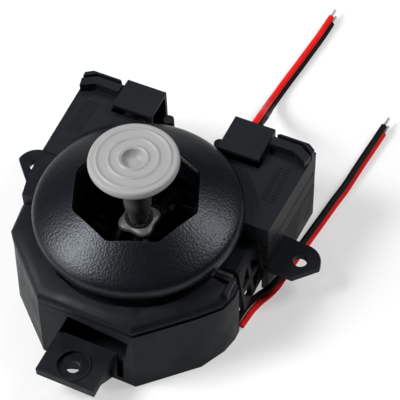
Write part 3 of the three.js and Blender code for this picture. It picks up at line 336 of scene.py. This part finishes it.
def lacquered_board():
    """Green board with the faint lines of its tracks."""
    made, tree, shader = new_material("board_green")
    place = add_node(tree, "ShaderNodeTexCoord").outputs["Object"]
    tracks = add_node(tree, "ShaderNodeTexBrick", Scale=420.0)
    tracks.inputs["Mortar Size"].default_value = 0.03
    tree.links.new(place, tracks.inputs["Vector"])
    tint = mix_colours(tree, tracks.outputs["Fac"], (0.012, 0.09, 0.035), (0.03, 0.19, 0.08))
    tree.links.new(tint, shader.inputs["Base Color"])
    cloud = noise_node(tree, place, 900.0, 3.0)
    tree.links.new(remap(tree, cloud, 0.3, 0.7, 0.25, 0.45), shader.inputs["Roughness"])
    add_bump(tree, shader, tracks.outputs["Fac"], 0.03 * MM)
    return made


def pale_floor():
    made, tree, shader = new_material("pale_floor")
    place = add_node(tree, "ShaderNodeTexCoord").outputs["Object"]
    cloud = noise_node(tree, place, 30.0, 2.0)
    tint = mix_colours(tree, cloud, (0.42, 0.42, 0.42), (0.43, 0.43, 0.43))
    tree.links.new(tint, shader.inputs["Base Color"])
    shader.inputs["Roughness"].default_value = 0.9
    shader.inputs["Specular IOR Level"].default_value = 0.1
    shader.inputs["Emission Color"].default_value = WHITE
    shader.inputs["Emission Strength"].default_value = 0.42
    return made


MATERIALS = {
    "housing_black": moulded_plastic(
        "housing_black", (0.003, 0.0036, 0.0048), 0.48, specular=0.13, sheen=COOL_SHEEN,
    ),
    "wing_black": moulded_plastic(
        "wing_black", (0.0028, 0.0034, 0.0046), 0.46, grain=0.4, depth=0.014, spread=0.1,
        specular=0.14, sheen=COOL_SHEEN, seams=(WING_SPLIT_LOW, WING_SPLIT_HIGH),
    ),
    "dome_black": leather_grain(
        "dome_black", (0.0025, 0.0032, 0.0045), 0.34, grain=0.46, depth=0.032,
    ),
    "cap_grey": moulded_plastic(
        "cap_grey", (0.25, 0.25, 0.248), 0.45, grain=0.2, depth=0.002, spread=0.05, wear_and_highlight=1.1,
        specular=0.3, cloudy=1.04,
    ),
    "post_grey": moulded_plastic(
        "post_grey", (0.058, 0.058, 0.059), 0.42, grain=0.3, depth=0.003, spread=0.06, wear_and_highlight=1.3,
    ),
    "mechanism_black": moulded_plastic(
        "mechanism_black", (0.003, 0.003, 0.004), 0.6, grain=0.3, depth=0.004, specular=0.05,
    ),
    "part_black": moulded_plastic(
        "part_black", (0.006, 0.006, 0.007), 0.5, grain=0.3, depth=0.005, specular=0.1,
    ),
    "steel": metal("steel", (0.42, 0.43, 0.45), 0.32),
    "board_green": lacquered_board(),
    "sleeve_red": soft_sleeve("sleeve_red", (0.72, 0.008, 0.007), 0.55),
    "sleeve_black": soft_sleeve("sleeve_black", (0.0025, 0.0025, 0.003), 0.55),
    "tinned_copper": metal("tinned_copper", (0.62, 0.62, 0.64), 0.3, grain=0.05),
}

# ------------------------------------------------------------------ making pieces


def finish_piece(piece, slot_name, body, replaced):
    """Gives a piece its material, the body that it moves with and the CAD nodes that it replaces."""
    piece.data.materials.clear()
    piece.data.materials.append(MATERIALS[slot_name])
    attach(piece, body)
    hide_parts(*replaced)


def circle_points(radius, height, count):
    turns = [2 * math.pi * i / count for i in range(count)]
    return [(radius * math.cos(a), radius * math.sin(a), height) for a in turns]


def mesh_piece(name, points, faces, smooth_below):
    """A piece from points in mm and faces; edges under smooth_below degrees are shaded smooth."""
    mesh = bpy.data.meshes.new(name)
    mesh.from_pydata([Vector(p) * MM for p in points], [], faces)
    mesh.update()
    for polygon in mesh.polygons:
        polygon.use_smooth = True
    mesh.set_sharp_from_angle(angle=math.radians(smooth_below))
    piece = bpy.data.objects.new(name, mesh)
    bpy.context.scene.collection.objects.link(piece)
    return piece


def ring_surface(rings, closed=False):
    """Points and faces of a surface through rings with the same number of points."""
    count = len(rings[0])
    points = [p for ring in rings for p in ring]
    faces = []
    last = len(rings) if closed else len(rings) - 1
    for j in range(last):
        k = (j + 1) % len(rings)
        for i in range(count):
            n = (i + 1) % count
            faces.append((j * count + i, j * count + n, k * count + n, k * count + i))
    return points, faces


def fix_direction(piece):
    """Turns every face of a closed piece outwards."""
    work = bmesh.new()
    work.from_mesh(piece.data)
    bmesh.ops.recalc_face_normals(work, faces=work.faces)
    work.to_mesh(piece.data)
    work.free()


def turned_piece(name, profile, segments):
    """A round body about the stick's axis; the profile's ends lie on the axis."""
    rings = [circle_points(r, z, segments) for r, z in profile[1:-1]]
    points, faces = ring_surface(rings)
    for z, ring, flip in ((profile[0][1], 0, True), (profile[-1][1], len(rings) - 1, False)):
        centre = len(points)
        points.append((0, 0, z))
        for i in range(segments):
            a = ring * segments + i
            b = ring * segments + (i + 1) % segments
            faces.append((b, a, centre) if flip else (a, b, centre))
    piece = mesh_piece(name, points, faces, 40)
    fix_direction(piece)
    return piece


def rounded_profile(corners, steps=5):
    """Replaces each (r, z, radius) corner by an arc; a radius of 0 keeps the corner sharp."""
    made = []
    for i, (r, z, radius) in enumerate(corners):
        if radius == 0 or i in (0, len(corners) - 1):
            made.append((r, z))
            continue
        here = Vector((r, z))
        before = Vector(corners[i - 1][:2]) - here
        after = Vector(corners[i + 1][:2]) - here
        reach = min(radius, before.length * 0.49, after.length * 0.49)
        first = here + before.normalized() * reach
        last = here + after.normalized() * reach
        for k in range(steps + 1):
            t = k / steps
            p = first * (1 - t) ** 2 + here * 2 * t * (1 - t) + last * t ** 2
            made.append((p.x, p.y))
    return made


def rounded_copy(node, slot_name, body, radius):
    """A copy of a CAD node's mesh with its edges rounded, which replaces the node."""
    sharp_angle = math.radians(28)
    work = bmesh.new()
    work.from_mesh(frame["nodes"][node].data)
    bmesh.ops.remove_doubles(work, verts=work.verts, dist=0.002 * MM)
    bmesh.ops.dissolve_limit(
        work, angle_limit=math.radians(1.0), use_dissolve_boundaries=False,
        verts=work.verts, edges=work.edges, delimit=set(),
    )
    sharp = [
        e for e in work.edges
        if len(e.link_faces) == 2 and e.calc_face_angle(0) > sharp_angle
    ]
    bmesh.ops.bevel(
        work, geom=sharp, offset=radius * MM, offset_type="OFFSET", segments=2,
        profile=0.5, affect="EDGES", clamp_overlap=True, harden_normals=False,
    )
    bmesh.ops.triangulate(work, faces=[f for f in work.faces if len(f.verts) > 4])
    mesh = bpy.data.meshes.new(node + "_looks")
    work.to_mesh(mesh)
    work.free()
    for polygon in mesh.polygons:
        polygon.use_smooth = True
    mesh.set_sharp_from_angle(angle=sharp_angle)
    piece = bpy.data.objects.new(node + "_looks", mesh)
    bpy.context.scene.collection.objects.link(piece)
    modifier = piece.modifiers.new("even_shading", "WEIGHTED_NORMAL")
    modifier.keep_sharp = True
    finish_piece(piece, slot_name, body, [node])


# ------------------------------------------------------------------ leads

# the middle line of each lead, from the housing to the end of its sleeve
REAR_RED_ROUTE = [
    (10.7, 28.6, 18.6), (10.7, 30.6, 18.3), (10.4, 33, 17.15), (9.75, 36, 14.9), (8.7, 39, 11.7),
    (7.65, 42, 8.5), (6.8, 45, 5.7), (6.2, 48, 3.65), (6, 51, 2.4), (6.1, 54, LEAD_ABOVE),
    (6.45, 57.5, LEAD_ABOVE), (6.9, 61.5, LEAD_ABOVE), (7.35, 66, LEAD_ABOVE),
    (7.8, 70.5, LEAD_ABOVE), (8.1, 74.5, LEAD_ABOVE), (8.25, 77.6, LEAD_ABOVE),
]
REAR_BLACK_ROUTE = [
    (11.2, 28.4, 17.35), (11.25, 30.25, 17.1), (11.05, 32.45, 16.05), (10.5, 35.35, 13.95),
    (9.5, 38.3, 10.8), (8.4, 41.3, 7.55), (7.5, 44.35, 4.7), (6.8, 47.45, 2.55), (6.5, 50.65, 1.15),
    (6.6, 53.9, LEAD_REST), (6.95, 57.45, LEAD_REST), (7.4, 61.45, LEAD_REST), (7.85, 65.95, LEAD_REST),
    (8.3, 70.45, LEAD_REST), (8.6, 74.45, LEAD_REST), (8.7, 76.9, LEAD_REST),
]
SIDE_RED_ROUTE = [
    (22.9, -4.2, LEAD_REST), (23.15, -2, LEAD_REST), (23.45, 0.1, LEAD_REST), (24.1, 2.4, LEAD_REST),
    (25.1, 4.9, LEAD_REST), (25.7, 7.2, LEAD_REST), (26, 10.2, LEAD_REST), (26.5, 14.9, LEAD_REST),
    (27.2, 20.5, LEAD_REST), (27.8, 25.1, LEAD_REST), (28.4, 29.9, LEAD_REST), (29.1, 34.7, LEAD_REST),
    (29.5, 39.4, LEAD_REST), (29.95, 44.2, LEAD_REST), (30.35, 48, LEAD_REST), (30.7, 51.6, LEAD_REST),
]
SIDE_BLACK_ROUTE = [
    (21.55, -4.05, LEAD_REST), (21.85, -1.85, 1.05), (22.3, 0.35, 1.4), (23.2, 2.7, 1.7),
    (24.5, 5.1, 1.9), (25.25, 7.3, LEAD_ABOVE), (25.55, 10.25, LEAD_ABOVE), (26.05, 14.95, LEAD_ABOVE),
    (26.75, 20.55, LEAD_ABOVE), (27.35, 25.15, LEAD_ABOVE), (27.95, 29.95, LEAD_ABOVE),
    (28.65, 34.75, LEAD_ABOVE), (29.05, 39.45, LEAD_ABOVE), (29.5, 44.25, LEAD_ABOVE),
    (29.9, 48.05, LEAD_ABOVE), (30.35, 52.7, LEAD_ABOVE),
]


def through(points, steps=6):
    """Points of a smooth curve through the route."""
    places = [Vector(p) for p in points]
    ends = [places[0] * 2 - places[1], *places, places[-1] * 2 - places[-2]]
    made = []
    for i in range(1, len(ends) - 2):
        a, b, c, d = ends[i - 1:i + 3]
        for k in range(steps):
            t = k / steps
            made.append(0.5 * (
                2 * b + (c - a) * t + (2 * a - 5 * b + 4 * c - d) * t ** 2
                + (3 * b - a - 3 * c + d) * t ** 3
            ))
    made.append(places[-1])
    return made


def add_strands(name, route):
    """Seven twisted tinned strands in a lead's cut end."""
    end = Vector(route[-1])
    along = (end - Vector(route[-2])).normalized()
    across = along.cross(Vector((0, 0, 1))).normalized()
    upward = across.cross(along)
    points = []
    faces = []
    sides = 6
    steps = 8
    for strand in range(7):
        offset = 0.0 if strand == 0 else STRAND_OFFSET
        phase = strand * math.pi / 3
        reach = TIP_LENGTH - 0.05 - 0.1 * (strand % 3)
        first = len(points)
        for k in range(steps + 1):
            t = k / steps
            turn = phase + t * STRAND_TWIST
            middle = (
                end + along * (TIP_GAP + 0.02 + t * reach)
                + (across * math.cos(turn) + upward * math.sin(turn)) * offset
            )
            for i in range(sides):
                a = 2 * math.pi * i / sides
                points.append(middle + (across * math.cos(a) + upward * math.sin(a)) * STRAND_RADIUS)
        for k in range(steps):
            for i in range(sides):
                a = first + k * sides + i
                b = first + k * sides + (i + 1) % sides
                faces.append((a, a + sides, b + sides, b))
        faces.append(tuple(first + i for i in range(sides)))
        faces.append(tuple(first + steps * sides + i for i in reversed(range(sides))))
    return mesh_piece(name, points, faces, 50)


def add_lead(name, route, slot_name):
    """A sleeved lead along its route, with bare strands at its cut end."""
    data = bpy.data.curves.new(name + "_looks", "CURVE")
    data.dimensions = "3D"
    data.bevel_depth = LEAD_DIAMETER / 2 * MM
    data.bevel_resolution = 6
    data.use_fill_caps = True
    points = through(route)
    spline = data.splines.new("POLY")
    spline.points.add(len(points) - 1)
    for target, point in zip(spline.points, points):
        target.co = (*(point * MM), 1)
    spline.use_smooth = True
    lead = bpy.data.objects.new(name + "_looks", data)
    bpy.context.scene.collection.objects.link(lead)
    finish_piece(lead, slot_name, "housing", [name])
    strands = add_strands(name + "_strands", route)
    finish_piece(strands, "tinned_copper", "housing", [name + "_tip"])


add_camera()
add_stage()
add_lead("rear_lead_red", REAR_RED_ROUTE, "sleeve_red")
add_lead("rear_lead_black", REAR_BLACK_ROUTE, "sleeve_black")
add_lead("side_lead_red", SIDE_RED_ROUTE, "sleeve_red")
add_lead("side_lead_black", SIDE_BLACK_ROUTE, "sleeve_black")

# ------------------------------------------------------------------ dome with its octagonal gate

# outer surface of the dome from the rim to the gate
DOME_CURVE = [
    (20.0, 20.2), (20.0, 21.4), (19.96, 21.85), (19.8, 22.3), (19.47, 22.72), (19.0, 23.1),
    (18.2, 23.6), (17.0, 24.24), (15.5, 25.0), (14.0, 25.72), (12.5, 26.4), (11.0, 27.05),
]
SHOULDER_POINT = 7                  # where the circles begin to turn into the octagon


def dome_height(radius):
    """Height of the dome's outer surface at a distance from the axis."""
    for (r0, z0), (r1, z1) in zip(DOME_CURVE, DOME_CURVE[1:]):
        if r1 <= radius <= r0 and r0 != r1:
            return z0 + (z1 - z0) * (r0 - radius) / (r0 - r1)
    return DOME_CURVE[0][1] if radius >= DOME_RADIUS else GATE_TOP


def gate_reach(angle, size):
    """Distance from the axis to the gate's octagon, with softened corners."""
    wedge = math.pi / 4
    off = (angle % wedge) - wedge / 2
    straight = size * math.cos(wedge / 2) / math.cos(off)
    return min(straight, size * 0.985)


def add_dome():
    """Closed shell: neck, rim, outer slope, gate and underside, ring by ring."""
    segments = 240
    angles = [2 * math.pi * i / segments for i in range(segments)]
    rings = []

    def circle(radius, height):
        rings.append(circle_points(radius, height, segments))

    def outline(reaches, heights):
        """A ring with its own reach and height at each angle."""
        rings.append([
            (r * math.cos(a), r * math.sin(a), z) for a, r, z in zip(angles, reaches, heights)
        ])

    def octagon(size, height):
        outline([gate_reach(a, size) for a in angles], [height] * segments)

    circle(NECK_INNER, 21.2)
    circle(NECK_INNER, RIM + 0.15)
    circle(NECK_INNER + 0.15, RIM)
    circle(DOME_RADIUS - 0.35, RIM)
    circle(DOME_RADIUS - 0.1, RIM + 0.1)
    circle(DOME_RADIUS, RIM + 0.35)
    for radius, height in DOME_CURVE[1:SHOULDER_POINT + 1]:
        circle(radius, height)
    # from the circle at the shoulder over to the octagon
    shoulder = DOME_CURVE[SHOULDER_POINT][0]
    steps = 14
    for k in range(1, steps + 1):
        t = k / steps
        edges = [gate_reach(a, GATE_RADIUS) + GATE_LIP for a in angles]
        reaches = [shoulder + (edge - shoulder) * t for edge in edges]
        outline(reaches, [dome_height(r) for r in reaches])
    # bevelled lip, then the throat
    lip_height = dome_height(GATE_RADIUS + GATE_LIP)
    for outward, drop in ((0.5, 0.04), (0.4, 0.12), (0.05, 0.62), (0, 0.72), (-0.02, 0.9)):
        reaches = [gate_reach(a, GATE_RADIUS) + outward for a in angles]
        outline(reaches, [lip_height - drop] * segments)
    octagon(GATE_RADIUS - 0.05, 24.5)
    octagon(GATE_RADIUS - 0.3, GATE_THROAT_LOW + 0.15)
    octagon(GATE_RADIUS - 0.15, GATE_THROAT_LOW)
    # underside
    octagon(GATE_RADIUS + 1.1, GATE_THROAT_LOW)
    octagon(GATE_RADIUS + 1.1, 24.7)
    circle(15.6, 24.7)
    circle(18.2, 23.2)
    circle(18.7, 21.4)
    points, faces = ring_surface(rings, closed=True)
    dome = mesh_piece("dome_gate_looks", points, faces, 50)
    fix_direction(dome)
    finish_piece(dome, "dome_black", "housing", ["dome_gate"])


# ------------------------------------------------------------------ stick


def ridge(radius, top, half_width, height, steps=10):
    """Profile of a soft ring on the cap, from outside to inside."""
    made = []
    for k in range(steps + 1):
        t = 2 * k / steps - 1
        rise = height * (1 + math.cos(math.pi * t)) / 2
        made.append((radius - half_width * t, top - height + rise))
    return made


def add_cap():
    """Cap with three raised rings and a dimple, open below where the post enters."""
    floor = CAP_TOP - CAP_RIDGE_HEIGHT
    ridges = [
        point for radius, half_width in CAP_RIDGES
        for point in ridge(radius, CAP_TOP, half_width, CAP_RIDGE_HEIGHT)
    ]
    profile = [
        (0, CAP_UNDERSIDE + 1.5), (1.4, CAP_UNDERSIDE + 1.5), (1.4, CAP_UNDERSIDE + 0.05),
        *rounded_profile([
            (1.5, CAP_UNDERSIDE, 0), (5.5, CAP_UNDERSIDE, 1.2), (7.7, CAP_TOP - 2.5, 1.6),
            (8.5, CAP_TOP - 1.3, 1.2), (8.2, CAP_TOP - 0.22, 1.0), (7.45, CAP_TOP - 0.16, 0),
        ], 7),
        *ridges,
        (2.1, floor - 0.12), (1.98, floor - 0.4), (1.7, floor - 0.8), (1.25, floor - 1.2),
        (0.8, floor - 1.38), (0.45, floor - 1.42), (0, floor - 1.42),
    ]
    cap = turned_piece("thumb_cap_looks", profile, 128)
    finish_piece(cap, "cap_grey", "stick", ["thumb_cap"])


def add_post():
    """Post from its foot in the mechanism to the spigot in the cap."""
    profile = [
        (0, FOOT_BOTTOM), (2.4, FOOT_BOTTOM), (2.6, FOOT_BOTTOM + 0.3), (2.6, FOOT_BOTTOM + 0.9),
        (1.7, FOOT_BOTTOM + 1.2), (POST_FOOT_RADIUS, PIVOT - 1.6), (POST_FOOT_RADIUS, 18),
        (2.0, 19.2), (2.2, 20.4), (2.44, 21.7), (2.6, 22.6), (2.65, 23.4), (2.6, 24.8),
        (2.5, 26.4), (POST_TOP_RADIUS, 27.5),
        (POST_TOP_RADIUS, CAP_UNDERSIDE), (1.2, CAP_UNDERSIDE), (1.2, CAP_UNDERSIDE + 1.3),
        (0, CAP_UNDERSIDE + 1.3),
    ]
    post = turned_piece("stick_post_looks", profile, 64)
    finish_piece(post, "post_grey", "stick", ["stick_post"])


def add_collar():
    """Splayed collar with four lobes, bent to a bowl about the pivot."""
    count = 96
    rings = []
    inner = POST_FOOT_RADIUS + 0.3

    def lobes(scale, height):
        ring = []
        for i in range(count):
            a = 2 * math.pi * i / count
            splay = COLLAR_LOBE_SPREAD * math.cos(4 * (a - math.pi / 4))
            radius = (COLLAR_LOBE_RADIUS + splay) * scale
            ring.append((radius * math.cos(a), radius * math.sin(a), height))
        rings.append(ring)

    def circle(radius, height):
        rings.append(circle_points(radius, height, count))

    def bowl(radius, bend):
        return PIVOT + math.sqrt(bend ** 2 - radius ** 2)

    outer = COLLAR_INNER + COLLAR_THICKNESS
    circle(inner, bowl(inner, COLLAR_INNER))
    for scale in (0.7, 0.85, 0.97):
        lobes(scale, bowl(COLLAR_LOBE_RADIUS * scale, COLLAR_INNER))
    lobes(1.0, bowl(COLLAR_LOBE_RADIUS, COLLAR_INNER) + 0.1)
    lobes(1.0, bowl(COLLAR_LOBE_RADIUS, outer) - 0.2)
    for scale in (0.97, 0.9, 0.8, 0.7):
        lobes(scale, bowl(COLLAR_LOBE_RADIUS * scale, outer) - 0.03)
    circle(inner, bowl(inner, outer) - 0.02)
    points, faces = ring_surface(rings, closed=True)
    collar = mesh_piece("stick_collar_looks", points, faces, 45)
    fix_direction(collar)
    finish_piece(collar, "post_grey", "stick", ["stick_collar"])


# ------------------------------------------------------------------ pieces that keep the CAD's shape

# material and edge radius in mm
ROUNDED = {
    "lower_case": ("housing_black", 0.22),
    "middle_frame": ("housing_black", 0.1),
    "upper_case": ("housing_black", 0.18),
    "wing_cover_right": ("wing_black", 0.16),
    "wing_cover_left": ("wing_black", 0.16),
    "wing_frame_right": ("wing_black", 0.1),
    "wing_frame_left": ("wing_black", 0.1),
    "hood_right": ("wing_black", 0.16),
    "hood_left": ("wing_black", 0.16),
    "side_cover_left": ("wing_black", 0.16),
    "side_bracket_right": ("housing_black", 0.12),
    "lead_clip_rear": ("sleeve_black", 0.15),
    "lead_clip_side": ("sleeve_black", 0.1),
}

add_dome()
add_cap()
add_post()
add_collar()
for node, (slot_name, radius) in ROUNDED.items():
    rounded_copy(node, slot_name, "housing", radius)

# the nodes that no piece replaces are shown as they are
for row in frame["record"]["subparts"]:
    carried = frame["nodes"][row["node"]]
    if not carried.hide_render:
        carried.data.materials.clear()
        carried.data.materials.append(MATERIALS[row["material_slot"]])
